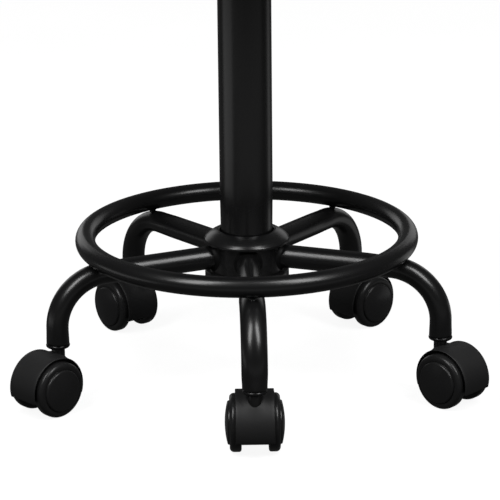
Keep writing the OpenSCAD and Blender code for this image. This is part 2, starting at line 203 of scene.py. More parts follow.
def plywood(name):
    """Birch plywood: long grain on the face and thin dark glue lines round the edge."""
    p = Paint(name)
    grain = p.noise(140, 6, 0.65, p.stretch((0.12, 1.6, 1.0)))
    colour = p.mix(p.span(grain, 0.3, 0.7, 0, 1), (0.56, 0.39, 0.21), (0.36, 0.22, 0.10))
    height = p.add("SeparateXYZ", {"Vector": p.coords}).outputs["Z"]
    ply = p.math("ABSOLUTE", p.math("SINE", p.math("MULTIPLY", height, math.pi / 0.0015)))
    glue = p.span(ply, 0.0, 0.18, 0.75, 0.0)
    colour = p.mix(glue, colour, (0.10, 0.055, 0.025))
    skin = p.bump(grain, 0.0002, 0.4)
    return p.set(Base_Color=colour, Roughness=p.span(grain, 0.3, 0.7, 0.55, 0.75), Normal=skin)


def felt(name):
    """Non-woven cover cloth: pressed fibres and a regular pattern of tiny weld dimples."""
    p = Paint(name)
    fibre = p.noise(1500, 6, 0.8)
    dimple = p.add("TexVoronoi", {"Vector": p.coords, "Scale": 420, "Randomness": 0.15}).outputs["Distance"]
    spots = p.span(dimple, 0.1, 0.3, 0.0, 1.0)
    colour = p.mix(fibre, (0.016, 0.016, 0.018), (0.05, 0.05, 0.054))
    skin = p.bump(spots, 0.0002, 0.5, p.bump(fibre, 0.0003, 0.5))
    p.set(Sheen_Weight=0.35, Sheen_Roughness=0.5)
    return p.set(Base_Color=colour, Roughness=p.span(fibre, 0.3, 0.7, 0.8, 0.95), Normal=skin)


def leather(name, rough):
    """Black imitation leather: pebbled grain with painted shade in its valleys, fine creases and a clouded
    polish.
    """
    p = Paint(name)
    inputs = {"Vector": p.coords, "Scale": 620, "Randomness": 1.0}
    pebble = p.add("TexVoronoi", inputs, feature="DISTANCE_TO_EDGE")
    cell = p.span(pebble.outputs["Distance"], 0.0, 0.22, 0, 1)
    crease = p.noise(95, 5, 0.62)
    cloud = p.noise(16, 3)
    colour = p.mix(cloud, (0.014, 0.014, 0.016), (0.022, 0.022, 0.024))
    # Darker towards each grain cell's edge, where the bump sinks: painted shade in the grain's valleys.
    colour = p.mix(p.span(cell, 0, 1, 0.6, 0), colour, (0.006, 0.006, 0.007))
    worn = p.math("ADD", crease, p.math("MULTIPLY", cell, -0.15))
    roughness = p.span(worn, 0.2, 0.7, rough - 0.06, rough + 0.12)
    skin = p.bump(cell, 0.00022, 0.5, p.bump(crease, 0.0009, 0.16))
    p.set(Specular_IOR_Level=0.5, Coat_Weight=0.08, Coat_Roughness=0.3)
    return p.set(Base_Color=colour, Roughness=roughness, Normal=skin)


def thread(name):
    """Twisted sewing thread, a little paler than the leather."""
    p = Paint(name)
    twist = p.noise(2500, 3, 0.6)
    colour = p.mix(twist, (0.03, 0.03, 0.032), (0.09, 0.09, 0.095))
    skin = p.bump(twist, 0.0001, 0.6)
    return p.set(Base_Color=colour, Roughness=p.span(twist, 0.3, 0.7, 0.6, 0.8), Normal=skin)


def weld_bead(name):
    """Powder coat over a weld: thin and dull, darkened as painted shade for the gap round the leg, faintly
    rippled.
    """
    p = Paint(name)
    lump = p.noise(420, 3, 0.5)
    # Both tones lie far below the powder coat's: painted shade for the dark gap where the leg enters the
    # hub.
    colour = p.mix(lump, (0.0012, 0.0012, 0.0013), (0.0026, 0.0026, 0.0028))
    p.set(Specular_IOR_Level=0.22)
    skin = p.bump(lump, 0.00015, 0.3)
    return p.set(Base_Color=colour, Roughness=p.span(lump, 0.3, 0.7, 0.5, 0.6), Normal=skin)


MATERIALS = {
    "black_powder_coat": coated_steel("black_powder_coat", (0.0046, 0.0046, 0.0048), 0.28, 0.3),
    "black_cylinder": coated_steel("black_cylinder", (0.0045, 0.0045, 0.005), 0.16, 0.1),
    "socket_plastic": moulded("socket_plastic", (0.005, 0.005, 0.0053), 0.26, 0.3),
    "black_plastic": moulded("black_plastic", (0.009, 0.009, 0.0095), 0.4, 0.6),
    "caster_plastic": moulded("caster_plastic", (0.0125, 0.0125, 0.0128), 0.5, 0.35),
    "wheel_plastic": moulded("wheel_plastic", (0.0115, 0.0115, 0.0118), 0.28, 0.3),
    "bare_steel": bright_steel("bare_steel", (0.45, 0.45, 0.46), 0.38),
    "bright_steel": bright_steel("bright_steel", (0.62, 0.62, 0.63), 0.24),
    "bumper_rubber": rubber("bumper_rubber"),
    "plywood": plywood("plywood"),
    "cover_fabric": felt("cover_fabric"),
    "seat_leather": leather("seat_leather", 0.42),
    "seat_thread": thread("seat_thread"),
    "weld_bead": weld_bead("weld_bead"),
}

slot_of = {s["node"]: s["material_slot"] for s in frame["record"]["subparts"]}
for name, node in nodes.items():
    for material_slot in node.material_slots:
        material_slot.material = MATERIALS[slot_of[name]]

# ---- Mesh helpers ----

ALONG_X, ALONG_Y, UP = Vector((1, 0, 0)), Vector((0, 1, 0)), Vector((0, 0, 1))


def link(name, data):
    """A new object in the scene, for a mesh, a light or a camera."""
    obj = bpy.data.objects.new(name, data)
    bpy.context.scene.collection.objects.link(obj)
    return obj


def piece(name, mesh_maker, material, body, smooth=True):
    """A new object from a bmesh, with its material, riding on a body."""
    mesh = bpy.data.meshes.new(name)
    bm = bmesh.new()
    mesh_maker(bm)
    bmesh.ops.remove_doubles(bm, verts=bm.verts, dist=1e-7)
    bmesh.ops.recalc_face_normals(bm, faces=bm.faces)
    bm.to_mesh(mesh)
    bm.free()
    for polygon in mesh.polygons:
        polygon.use_smooth = smooth
    obj = link(name, mesh)
    mesh.materials.append(MATERIALS[material])
    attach(obj, body)
    return obj


def loft(bm, rings, closed=True, wrap=False, cap=False):
    """Quads between successive rings. wrap joins the last ring to the first; cap closes both ends."""
    rows = [[bm.verts.new(p) for p in ring] for ring in rings]
    pairs = list(zip(rows, rows[1:])) + ([(rows[-1], rows[0])] if wrap else [])
    for a, b in pairs:
        count = len(a)
        for i in range(count if closed else count - 1):
            j = (i + 1) % count
            bm.faces.new((a[i], a[j], b[j], b[i]))
    if cap:
        for row in (rows[0], rows[-1]):
            centre = bm.verts.new(sum((v.co for v in row), Vector()) / len(row))
            for i in range(len(row)):
                bm.faces.new((row[i], row[(i + 1) % len(row)], centre))


def lathe(bm, profile, count=96, matrix=Matrix.Identity(4), start=0.0, sweep=TAU):
    """Turns (radius, height) points about the matrix's Z axis."""
    full = abs(sweep - TAU) < 1e-6
    steps = count if full else count + 1
    rings = []
    for i in range(steps):
        a = start + sweep * i / count
        rings.append([matrix @ Vector((r * math.cos(a), r * math.sin(a), z)) for r, z in profile])
    loft(bm, rings, closed=False, wrap=full)


def hoop(centre, u, v, sides, radius=1.0):
    """Points round centre, in the plane of u and v, which give the two half axes for a radius of 1."""
    angles = (TAU * i / sides for i in range(sides))
    return [centre + u * (radius * math.cos(t)) + v * (radius * math.sin(t)) for t in angles]


def arc(centre, radius, start, end, count):
    """(x, y) points on a circle's arc, angles in degrees."""
    cx, cy = centre
    out = []
    for i in range(count + 1):
        a = math.radians(start + (end - start) * i / count)
        out.append((cx + radius * math.cos(a), cy + radius * math.sin(a)))
    return out


def ease(x):
    """0 below 0, 1 above 1, and smooth between."""
    x = min(max(x, 0.0), 1.0)
    return x * x * (3 - 2 * x)


# ---- Base: legs, welds, ring, hub ----

LEG_INNER_END = 0.0312
BEND_STEPS = 30
UPRIGHT_STEPS = 8
# Change of the tube's half height and half width in its bend
IN_PLANE = -0.0007
ACROSS = 0.00085
WELD_SIZE = 0.0044


def leg_corner():
    """Where a leg's falling run meets its bend, on the centre line: (distance out, height)."""
    return LEG_REACH - BEND_R + BEND_R * math.sin(LEG_FALL), BEND_Z + BEND_R * math.cos(LEG_FALL)


def leg_line(step=0.0025):
    """Points along a leg's centre line from the hub down: (distance out, height, fall angle, flattening)."""
    turn_x, top_z = leg_corner()
    run = (turn_x - LEG_INNER_END) / math.cos(LEG_FALL)
    out = []
    count = int(run / step)
    for i in range(count):
        s = run * (1 - i / count)
        flat = ease(1 - (s - 0.004) / 0.022)
        out.append((turn_x - s * math.cos(LEG_FALL), top_z + s * math.sin(LEG_FALL), LEG_FALL, flat))
    for i in range(BEND_STEPS):
        a = LEG_FALL + (math.pi / 2 - LEG_FALL) * i / BEND_STEPS
        out.append((LEG_REACH - BEND_R + BEND_R * math.sin(a), BEND_Z + BEND_R * math.cos(a), a, 1.0))
    for i in range(UPRIGHT_STEPS + 1):
        f = i / UPRIGHT_STEPS
        out.append((LEG_REACH, BEND_Z + (LEG_END_Z + 0.0004 - BEND_Z) * f, math.pi / 2, 1 - 0.55 * ease(f)))
    return out


def leg_mesh(bm):
    """Bent tube, slightly flattened through its bend, with its wall showing at the open lower end."""
    rings = []
    line = leg_line()
    sides = 56

    def ring(x, z, angle, flat, shrink=0.0):
        tall = LEG_R + IN_PLANE * flat - shrink
        wide = LEG_R + ACROSS * flat - shrink
        up = Vector((math.sin(angle), 0, math.cos(angle)))
        return hoop(Vector((x, 0, z)), ALONG_Y * wide, up * tall, sides)

    for x, z, angle, flat in line:
        rings.append(ring(x, z, angle, flat))
    x, z, angle, flat = line[-1]
    for rise, shrink in ((-0.0003, 0.0002), (-0.0004, 0.0006), (-0.0004, 0.0014), (0.004, 0.0016)):
        rings.append(ring(x, z + rise, angle, flat, shrink))
    x, z, angle, flat = line[0]
    rings.insert(0, ring(x, z, angle, flat, 0.0015))
    rings.insert(0, ring(x + 0.006, z, angle, flat, 0.0015))
    loft(bm, rings)


def weld_mesh(bm):
    """Concave fillet between a leg and the hub's wall, with the small ripples a weld leaves."""
    sides, steps = 120, 9
    turn_x, top_z = leg_corner()
    height = top_z + (turn_x - HUB_R) * math.sin(LEG_FALL)
    rings = []
    for j in range(steps + 1):
        a = math.pi / 2 * j / steps
        ring = []
        for i in range(sides):
            t = TAU * i / sides
            ripple = 0.00012 * math.sin(38 * t) * math.sin(2 * a)
            size = WELD_SIZE * (1 + 0.04 * math.sin(3 * t + 1))
            radius = LEG_R - 0.0002 + size * (1 - math.cos(a))
            lift = size * (1 - math.sin(a)) + ripple
            y, z = radius * math.cos(t), radius * math.sin(t)
            x = math.sqrt(max(HUB_R ** 2 - y * y, 0)) - 0.0003 + lift
            ring.append(Vector((x, y, height + z)))
        rings.append(ring)
    loft(bm, rings)


def ring_mesh(bm):
    """The foot ring, with the slight swelling of its butt weld at the back."""
    rings = []
    steps, sides = 300, 40
    for i in range(steps):
        a = TAU * i / steps
        off = (a - math.radians(100)) * RING_R
        tube = RING_TUBE_R + 0.0001 * math.exp(-(off / 0.0016) ** 2)
        out = Vector((math.cos(a), math.sin(a), 0))
        rings.append(hoop(out * RING_R + UP * RING_Z, out, UP, sides, tube))
    loft(bm, rings, wrap=True)


def stud_mesh(bm):
    """Short posts between ring and legs, flared by their welds at both ends."""
    low, high = 0.1345, 0.1390
    for k in LEGS:
        spot = Matrix.Rotation(leg_turn(k), 4, "Z") @ Matrix.Translation((RING_R, 0, 0))
        shares = [i / 12 for i in range(13)]
        profile = [(0.0031 + 0.0022 * abs(2 * f - 1) ** 3, low + (high - low) * f) for f in shares]
        lathe(bm, profile, 32, spot)


def placed(matrix, maker):
    """A maker whose mesh is moved by a matrix."""
    def made(bm):
        maker(bm)
        bmesh.ops.transform(bm, matrix=matrix, verts=bm.verts)
    return made


for k in LEGS:
    turn = Matrix.Rotation(leg_turn(k), 4, "Z")
    leg = piece(f"bent_leg_{k}", placed(turn, leg_mesh), "black_powder_coat", "base")
    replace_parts(leg, f"leg_{k}")
    piece(f"leg_weld_{k}", placed(turn, weld_mesh), "weld_bead", "base")
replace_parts(piece("ring_tube", ring_mesh, "black_powder_coat", "base"), "foot_ring")
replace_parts(piece("ring_posts", stud_mesh, "black_powder_coat", "base"), "ring_studs")


def collar_mesh(bm):
    """Domed collar: steepening from its inner lip to a tightly rolled rim."""
    top, low, outer, bore = 0.1545, 0.1431, 0.0405, 0.026
    crown, roll, edge = 0.0272, 0.0029, 0.0011
    profile = [(bore, low + 0.001), (bore, top - 0.0006), (bore + 0.0004, top - 0.0001)]
    for r in (crown, 0.028, 0.030, 0.032, 0.034, 0.036, 0.0375, 0.0387):
        profile.append((r, top - 0.30 * (r - crown) - 25 * (r - crown) ** 2))
    profile += arc((outer - roll, top - 0.0099), roll, 52, 0, 7)
    profile += arc((outer - edge, low + edge), edge, 0, -90, 4)
    profile.append((0.033, low))
    lathe(bm, profile, 128)


def foot_mesh(bm):
    """Flat foot flange with softened corners."""
    top, low, outer, bore, edge = 0.1155, 0.107, 0.040, 0.0247, 0.0009
    profile = [(bore, low)]
    profile += arc((outer - edge, low + edge), edge, -90, 0, 3)
    profile += arc((outer - edge, top - edge), edge, 0, 90, 3)
    profile.append((0.0345, top))
    lathe(bm, profile, 128)


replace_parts(piece("domed_collar", collar_mesh, "black_powder_coat", "base"), "hub_collar")
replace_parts(piece("foot_flange", foot_mesh, "black_powder_coat", "base"), "hub_foot_plate")

# ---- Casters ----

HOOD_R = 0.0302
HOOD_INNER = 0.0290
HOOD_HALF = 0.0175
# How far the hood reaches below the axle at its back and front, in degrees
HOOD_BACK = 15
HOOD_FRONT = 20
SADDLE_FLAT = 0.0064
SADDLE_RISE = 0.0018
SADDLE_WIDE = 0.0065
WEB_R = 0.0291
WEB_HALF = 0.0112
BOSS_R = 0.013


def hood_mesh(bm):
    """One-piece hood: rolled side edges, closed ends, and a saddle that rises to the stem."""
    shares = (-0.8, -0.6, -0.45, -0.3, -0.15, 0, 0.15, 0.3, 0.45, 0.6, 0.8)
    section = [(HOOD_INNER, -HOOD_HALF + 0.0004), (HOOD_INNER + 0.0004, -HOOD_HALF)]
    section += [(HOOD_R - 0.0006, -HOOD_HALF), (HOOD_R - 0.0002, -HOOD_HALF + 0.0002)]
    section += [(HOOD_R, -HOOD_HALF + 0.0007)]
    section += [(HOOD_R, HOOD_HALF * f) for f in shares]
    section += [(r, -a) for r, a in reversed(section[:5])]
    section += [(HOOD_INNER, HOOD_HALF * f) for f in (0.6, 0, -0.6)]
    steps = 96
    rings = []
    for i in range(steps + 1):
        a = math.radians(-HOOD_BACK + (180 + HOOD_BACK + HOOD_FRONT) * i / steps)
        ring = []
        for r, y in section:
            x, z = r * math.cos(a), r * math.sin(a)
            point = Vector((TRAIL + x, y, AXLE_Z + z))
            if r > HOOD_R - 0.0003 and z > 0:
                away = max(0.0, math.hypot(point.x, point.y) - SADDLE_FLAT)
                point.z += SADDLE_RISE * max(0.0, 1 - away / SADDLE_WIDE) ** 2
            ring.append(point)
        rings.append(ring)
    loft(bm, rings, cap=True)


def web_mesh(bm):
    """The solid web between the wheels: a thick plate round the axle and up into the hood."""
    outline = arc((0, 0), WEB_R, -HOOD_BACK, 180 + HOOD_FRONT, 48) + arc((0, 0), BOSS_R, 210, 336, 20)
    sides = [[Vector((TRAIL + x, y, AXLE_Z + z)) for x, z in outline] for y in (-WEB_HALF, WEB_HALF)]
    loft(bm, sides)
    for side in sides:
        bm.faces.new([bm.verts.new(p) for p in side])


def stem_mesh(bm):
    """Stem: neck, shoulder at the socket and the pin that runs down into the hood."""
    profile = [(0.0, 0.0305), (0.0050, 0.0305), (0.0055, 0.0312), (0.0055, 0.0442), (0.0062, 0.0442)]
    profile += [(0.00625, 0.0446), (0.00625, 0.0592), (0.0060, 0.0598), (0.0055, 0.0602), (0.0055, 0.0845)]
    profile.append((0.0, 0.085))
    lathe(bm, profile, 48)


def wheel_profile():
    """From the bore over the hollow inner side, the tread and the rim to the domed disc, in millimetres."""
    dome_r, dome_top = 76.4, 27.05
    profile = [(4.05, 21.2), (4.05, 12.3), (7.6, 12.2), (8.2, 12.3), (8.3, 15.6)]
    profile += [(21.8, 15.6), (21.9, 12.3), (22.4, 12.2)]
    profile += arc((24.3, 14.4), 2.2, -90, 0, 5)
    profile += arc((22.5, 18.8), 4.0, 0, 90, 9)
    profile += [(20.6, 22.8), (20.35, 22.7), (20.2, 22.5), (20.05, 22.6)]
    profile += arc((18.1, 23.0), 1.85, 0, 75, 5)
    profile += arc((0, dome_top - dome_r), dome_r, 76.3, 90, 8)
    return profile


def wheel_mesh(side):
    """One wheel, on side 1 (left) or -1 (right) of a caster that trails along +X."""
    def made(bm):
        axis = Matrix.Translation((TRAIL, 0, AXLE_Z)) @ Matrix.Rotation(-side * math.pi / 2, 4, "X")
        lathe(bm, [(r / 1000, a / 1000) for r, a in wheel_profile()], 96, axis)
    return made


for k in LEGS:
    spot = caster_frame(k)
    body = f"caster_{k}"
    hood = piece(f"hood_{k}", placed(spot, hood_mesh), "caster_plastic", body)
    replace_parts(hood, f"caster_hood_{k}")
    piece(f"hood_web_{k}", placed(spot, web_mesh), "caster_plastic", body, smooth=False)
    stem = piece(f"stem_{k}", placed(spot, stem_mesh), "black_powder_coat", "base")
    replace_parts(stem, f"caster_stem_{k}")
    for side, word in ((1, "left"), (-1, "right")):
        maker = placed(spot, wheel_mesh(side))
        wheel = piece(f"tread_wheel_{word}_{k}", maker, "wheel_plastic", f"wheel_{k}_{word}")
        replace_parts(wheel, f"wheel_{word}_{k}")

# ---- Seat ----

FOAM_LOW = 0.470
HEM_LOW = 0.458
HEM_TOP = 0.4665
SEAM_R = 0.1715
SEAM_Z = 0.5075
FREE_MOVE = 0.007
CLOTH_STEPS = 20
STITCHES = 190
STITCH_R = 0.1625
STAPLES = 28
COVER_TOP = 0.4579
COVER_R = 0.1668


def cushion_shell(bm):
    """The cover before it is filled: crowned top panel, straight band, hem turned under the board."""
    inner, under = 0.1654, FOAM_LOW + 0.0003
    profile = [(0.0, 0.5232), (0.06, 0.5226), (0.11, 0.5204), (0.145, 0.5166), (0.163, 0.5114)]
    profile += [(SEAM_R, SEAM_Z), (0.1728, 0.498), (0.1732, 0.486), (0.1730, 0.474)]
    profile += [(0.1718, 0.464), (0.1702, 0.4595)]
    profile += [(0.1675, HEM_LOW + 0.0003), (0.1656, HEM_LOW + 0.0005), (inner, FOAM_LOW - 0.004)]
    profile += [(inner, under), (0.12, under), (0.0, under)]
    lathe(bm, profile, 128)


def fill_cushion(obj):
    """Inflates the cover by cloth simulation, held along its seam and hem, and applies the result."""
    scene = bpy.context.scene
    view = bpy.context.view_layer
    remesh = obj.modifiers.new("remesh", "REMESH")
    remesh.mode, remesh.voxel_size = "VOXEL", 0.0045
    apply_modifiers(obj)
    start = [v.co.copy() for v in obj.data.vertices]
    held = obj.vertex_groups.new(name="held")
    for v, co in zip(obj.data.vertices, start):
        radius = math.hypot(co.x, co.y)
        seam = math.hypot(radius - SEAM_R, co.z - SEAM_Z)
        if co.z < FOAM_LOW + 0.002:
            held.add([v.index], 1.0, "REPLACE")
        elif seam < 0.006:
            held.add([v.index], 1.0 if seam < 0.0035 else 0.7, "REPLACE")
    cloth = obj.modifiers.new("cloth", "CLOTH")
    settings = cloth.settings
    settings.quality = 6
    settings.mass = 0.3
    settings.tension_stiffness = 18
    settings.compression_stiffness = 12
    settings.shear_stiffness = 6
    settings.bending_stiffness = 1.5
    settings.use_pressure = True
    settings.uniform_pressure_force = 4
    settings.effector_weights.gravity = 0
    settings.vertex_group_mass = "held"
    cloth.point_cache.frame_start, cloth.point_cache.frame_end = 1, CLOTH_STEPS
    for frame_number in range(1, CLOTH_STEPS + 1):
        scene.frame_set(frame_number)
    evaluated = obj.evaluated_get(view.depsgraph)
    moved = [v.co.copy() for v in evaluated.data.vertices]
    obj.modifiers.remove(cloth)
    for v, a, b in zip(obj.data.vertices, start, moved):
        step = b - a
        if step.length > FREE_MOVE:
            step = step * (FREE_MOVE / step.length)
        v.co = a + step
    scene.frame_set(1)
    settle(obj, start)


def settle(obj, start):
    """Evens out the filled cover, and leaves the held part under the foam as it is."""
    bm = bmesh.new()
    bm.from_mesh(obj.data)
    free = [v for v in bm.verts if start[v.index].z > FOAM_LOW + 0.002]
    for _ in range(4):
        bmesh.ops.smooth_vert(
            bm, verts=free, factor=0.5, use_axis_x=True, use_axis_y=True, use_axis_z=True)
    bm.to_mesh(obj.data)
    bm.free()


def apply_modifiers(obj):
    """Replaces the object's mesh by what its modifiers make of it."""
    bpy.context.view_layer.update()
    depsgraph = bpy.context.evaluated_depsgraph_get()
    mesh = bpy.data.meshes.new_from_object(obj.evaluated_get(depsgraph))
    obj.modifiers.clear()
    old = obj.data
    obj.data = mesh
    bpy.data.meshes.remove(old)


def pull_seam(obj):
    """Draws the cover in along its seam and adds the small radial puckers that sewing leaves."""
    for v in obj.data.vertices:
        radius, angle = math.hypot(v.co.x, v.co.y), math.atan2(v.co.y, v.co.x)
        away = math.hypot(radius - SEAM_R, v.co.z - SEAM_Z)
        if v.co.z < FOAM_LOW + 0.004:
            continue
        outward = Vector((v.co.x, v.co.y, 0)) / max(radius, 1e-6)
        normal = UP
        if radius > 0.15:
            normal = (outward * (radius - 0.15) + UP * (v.co.z - 0.488)).normalized()
        pinch = 0.0016 * math.exp(-((away / 0.004) ** 2))
        ripple = math.sin(74 * angle + 2.2 * math.sin(5 * angle) + 1.3 * math.sin(11 * angle))
        pucker = 0.00045 * ripple * math.exp(-((away - 0.007) / 0.0065) ** 2)
        broad = 0.0011 * noise.noise(Vector((v.co.x * 11, v.co.y * 11, v.co.z * 11 + 3)))
        v.co += normal * (pucker + broad * min(1, away / 0.02) - pinch)


def draw_hem(obj):
    """Stretches the cover's lowest part down to the board's underside, and draws in its lower edge."""
    bins = 160
    lowest = [HEM_TOP] * bins
    found = []
    for v in obj.data.vertices:
        if v.co.z < HEM_TOP and math.hypot(v.co.x, v.co.y) > 0.164:
            place = math.atan2(v.co.y, v.co.x) / TAU % 1 * bins
            found.append((v, place))
            near = int(place) % bins
            for i in (near - 1, near, near + 1):
                lowest[i % bins] = min(lowest[i % bins], v.co.z)
    for v, place in found:
        i, f = int(place) % bins, place % 1
        low = lowest[i] * (1 - f) + lowest[(i + 1) % bins] * f
        share = (HEM_TOP - v.co.z) / max(HEM_TOP - low, 0.001)
        v.co.z = HEM_TOP - share * (HEM_TOP - HEM_LOW)
        radius = math.hypot(v.co.x, v.co.y)
        if radius > 0.1675:
            scale = (radius - 0.0022 * max(0.0, share - 0.4)) / radius
            v.co.x, v.co.y = v.co.x * scale, v.co.y * scale


def seam_point(angle, lift=0.0):
    """On the seam line, which wanders a little."""
    radius = SEAM_R + 0.0004 * math.sin(7 * angle + 1) + lift
    z = SEAM_Z + 0.0004 * math.sin(5 * angle) + lift * 0.8
    return Vector((radius * math.cos(angle), radius * math.sin(angle), z))


def piping_mesh(bm):
    """Welt piping sewn into the seam: a covered cord with faint ridges where the cover gathers."""
    steps, sides = 420, 14
    rings = []
    for i in range(steps):
        a = TAU * i / steps
        centre = seam_point(a, -0.0011)
        out = Vector((math.cos(a), math.sin(a), 0))
        radius = 0.0026 * (1 + 0.03 * math.sin(90 * a + 3 * math.sin(7 * a)))
        rings.append(hoop(centre, out, UP, sides, radius))
    loft(bm, rings, wrap=True)


def surface_finder(obj):
    """A search tree of the object's faces, for casting rays on it."""
    bm = bmesh.new()
    bm.from_mesh(obj.data)
    tree = BVHTree.FromBMesh(bm)
    bm.free()
    return tree


def stitch_line(tree, middle):
    """Points along one stitch, which rises from the cover and sinks back into it."""
    steps = 6
    points = []
    for j in range(steps + 1):
        f = j / steps
        angle = middle + (f - 0.5) * TAU / STITCHES * 0.68
        above = Vector((STITCH_R * math.cos(angle), STITCH_R * math.sin(angle), 0.6))
        hit = tree.ray_cast(above, -UP)[0]
        points.append(hit + UP * (0.00055 * math.sin(math.pi * f) - 0.0003))
    return points


def stitches_mesh(tree):
    """A row of top stitches just inside the piping, each a short sunk loop of thread."""
    def made(bm):
        for i in range(STITCHES):
            points = stitch_line(tree, TAU * i / STITCHES)
            last = len(points) - 1
            rings = []
            for j, point in enumerate(points):
                along = (points[min(j + 1, last)] - points[max(j - 1, 0)]).normalized()
                side = along.cross(UP).normalized()
                radius = 0.00042 * (0.55 + 0.45 * math.sin(math.pi * j / last))
                rings.append(hoop(point, side, side.cross(along), 8, radius))
            loft(bm, rings, cap=True)
    return made


cushion = piece("padded_seat", cushion_shell, "seat_leather", "seat")
fill_cushion(cushion)
pull_seam(cushion)
draw_hem(cushion)
cushion.modifiers.new("smooth", "SUBSURF").levels = 1
cushion.modifiers["smooth"].render_levels = 1
apply_modifiers(cushion)
for polygon in cushion.data.polygons:
    polygon.use_smooth = True
cushion.data.materials.clear()
cushion.data.materials.append(MATERIALS["seat_leather"])
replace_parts(cushion, "seat_cushion")


def hem_mesh(bm):
    """The cover's lower edge, gathered and turned in under the board."""
    section = [(0.1710, 0.4700), (0.1714, 0.4660), (0.1710, 0.4625), (0.1698, 0.4598), (0.1680, 0.4585)]
    section += [(0.1652, 0.4583), (0.1652, 0.4592), (0.1674, 0.4594), (0.1686, 0.4604), (0.1696, 0.4630)]
    section += [(0.1700, 0.4660), (0.1697, 0.4700)]
    steps = 480
    rings = []
    for i in range(steps):
        a = TAU * i / steps
        fold = math.sin(60 * a + 1.5 * math.sin(7 * a)) * 0.00022
        ring = []
        for n, (r, z) in enumerate(section):
            low = fold * (1 if 2 <= n <= 4 else 0)
            ring.append(Vector(((r + low) * math.cos(a), (r + low) * math.sin(a), z + low * 0.6)))
        rings.append(ring)
    loft(bm, rings, wrap=True)


piece("seat_hem", hem_mesh, "seat_leather", "seat")
piece("seat_piping", piping_mesh, "seat_leather", "seat")
piece("seat_stitches", stitches_mesh(surface_finder(cushion)), "seat_thread", "seat")


def cover_sag(r, a):
    """How far the cloth hangs between its staples."""
    if r < 0.09:
        return 0.0
    return 0.0006 * math.exp(-((r - 0.150) / 0.02) ** 2) * (0.5 + 0.5 * math.cos(STAPLES * a))


def dust_cover_mesh(bm):
    """Thin cloth under the board, its edge turned in, drawn slightly between its staples."""
    steps = 144

    def ring(r, drop, sag=0):
        points = []
        for i in range(steps):
            a = TAU * i / steps
            z = COVER_TOP - drop - sag * cover_sag(r, a)
            points.append(Vector((r * math.cos(a), r * math.sin(a), z)))
        return points

    radii = (0.0, 0.02, 0.05, 0.075, 0.10, 0.125, 0.145, 0.158, 0.1635, 0.1662)
    rings = [ring(r, 0.0007, sag=1) for r in radii]
    rings += [ring(COVER_R, 0.0003), ring(COVER_R - 0.0008, 0), ring(0.001, 0)]
    loft(bm, rings)


def staples_mesh(bm):
    """Flat wire staples round the cloth's edge, their legs bent up into the board."""
    half = [(0.005, -0.0003), (0.0054, 0.0), (0.0055, 0.0012)]
    bend = [(-y, rise) for y, rise in half[::-1]] + half
    for i in range(STAPLES):
        turn = Matrix.Rotation(TAU * (i + 0.5) / STAPLES, 4, "Z")
        spot = turn @ Matrix.Translation((0.1605, 0, 0.45705))
        rings = []
        for y, rise in bend:
            wire = hoop(Vector((0, y, rise)), ALONG_X * 0.00035, UP * 0.00022, 8)
            rings.append([spot @ p for p in wire])
        loft(bm, rings, cap=True)


cover = piece("dust_cover_cloth", dust_cover_mesh, "cover_fabric", "seat")
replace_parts(cover, "dust_cover")
piece("cover_staples", staples_mesh, "bright_steel", "seat")

# ---- Lever ----

LEVER_Z = 0.4454
LEVER_DROP_X = 0.038
LEVER_DROP_Z = 0.428
LEVER_SLOPE = math.radians(35)
LEVER_R = 0.004


def bent_line(points, radii, steps=10):
    """Points of a rod in the XZ plane, its corners rounded to the given radii."""
    out = [Vector((points[0][0], 0, points[0][1]))]
    for i in range(1, len(points) - 1):
        a, b, c = (Vector((p[0], 0, p[1])) for p in points[i - 1:i + 2])
        before, after = (a - b).normalized(), (c - b).normalized()
        turn = math.pi - before.angle(after)
        reach = radii[i - 1] * math.tan(turn / 2)
        start, end = b + before * reach, b + after * reach
        for j in range(steps + 1):
            f = j / steps
            out.append(start.lerp(b, f).lerp(b.lerp(end, f), f))
    out.append(Vector((points[-1][0], 0, points[-1][1])))
    return out


def blunt_end(ring, point, other, radius):
    """Two slightly smaller rings past the rod's end at point, whose neighbour on the line is other."""
    along = (point - other).normalized()
    return [
        [point + along * (radius * 0.12 * f) + (v - point) * (1 - 0.14 * f) for v in ring]
        for f in (0.5, 0.85)
    ]


def rod(bm, line, radius, sides=28):
    """A round rod along a line in the XZ plane, with blunted ends."""
    last = len(line) - 1
    rings = []
    for i, point in enumerate(line):
        along = (line[min(i + 1, last)] - line[max(i - 1, 0)]).normalized()
        rings.append(hoop(point, ALONG_Y, ALONG_Y.cross(along), sides, radius))
    start = blunt_end(rings[0], line[0], line[1], radius)
    end = blunt_end(rings[-1], line[-1], line[-2], radius)
    loft(bm, start[::-1] + rings + end, cap=True)


def lever_mesh(bm):
    """The lever's bent rod, with the cross pin that it turns on."""
    lower_x = LEVER_DROP_X + (LEVER_Z - LEVER_DROP_Z) / math.tan(LEVER_SLOPE)
    corners = [(-0.005, LEVER_Z), (LEVER_DROP_X, LEVER_Z), (lower_x, LEVER_DROP_Z), (0.1555, LEVER_DROP_Z)]
    rod(bm, bent_line(corners, [0.012, 0.012]), LEVER_R)
    pin = Matrix.Translation((0.020, 0, LEVER_Z)) @ Matrix.Rotation(math.pi / 2, 4, "X")
    pin_r, half, edge = 0.0019, 0.0085, 0.0003
    profile = [(0.0, -half), (pin_r - edge, -half), (pin_r, edge - half)]
    profile += [(pin_r, half - edge), (pin_r - edge, half), (0.0, half)]
    lathe(bm, profile, 24, pin)


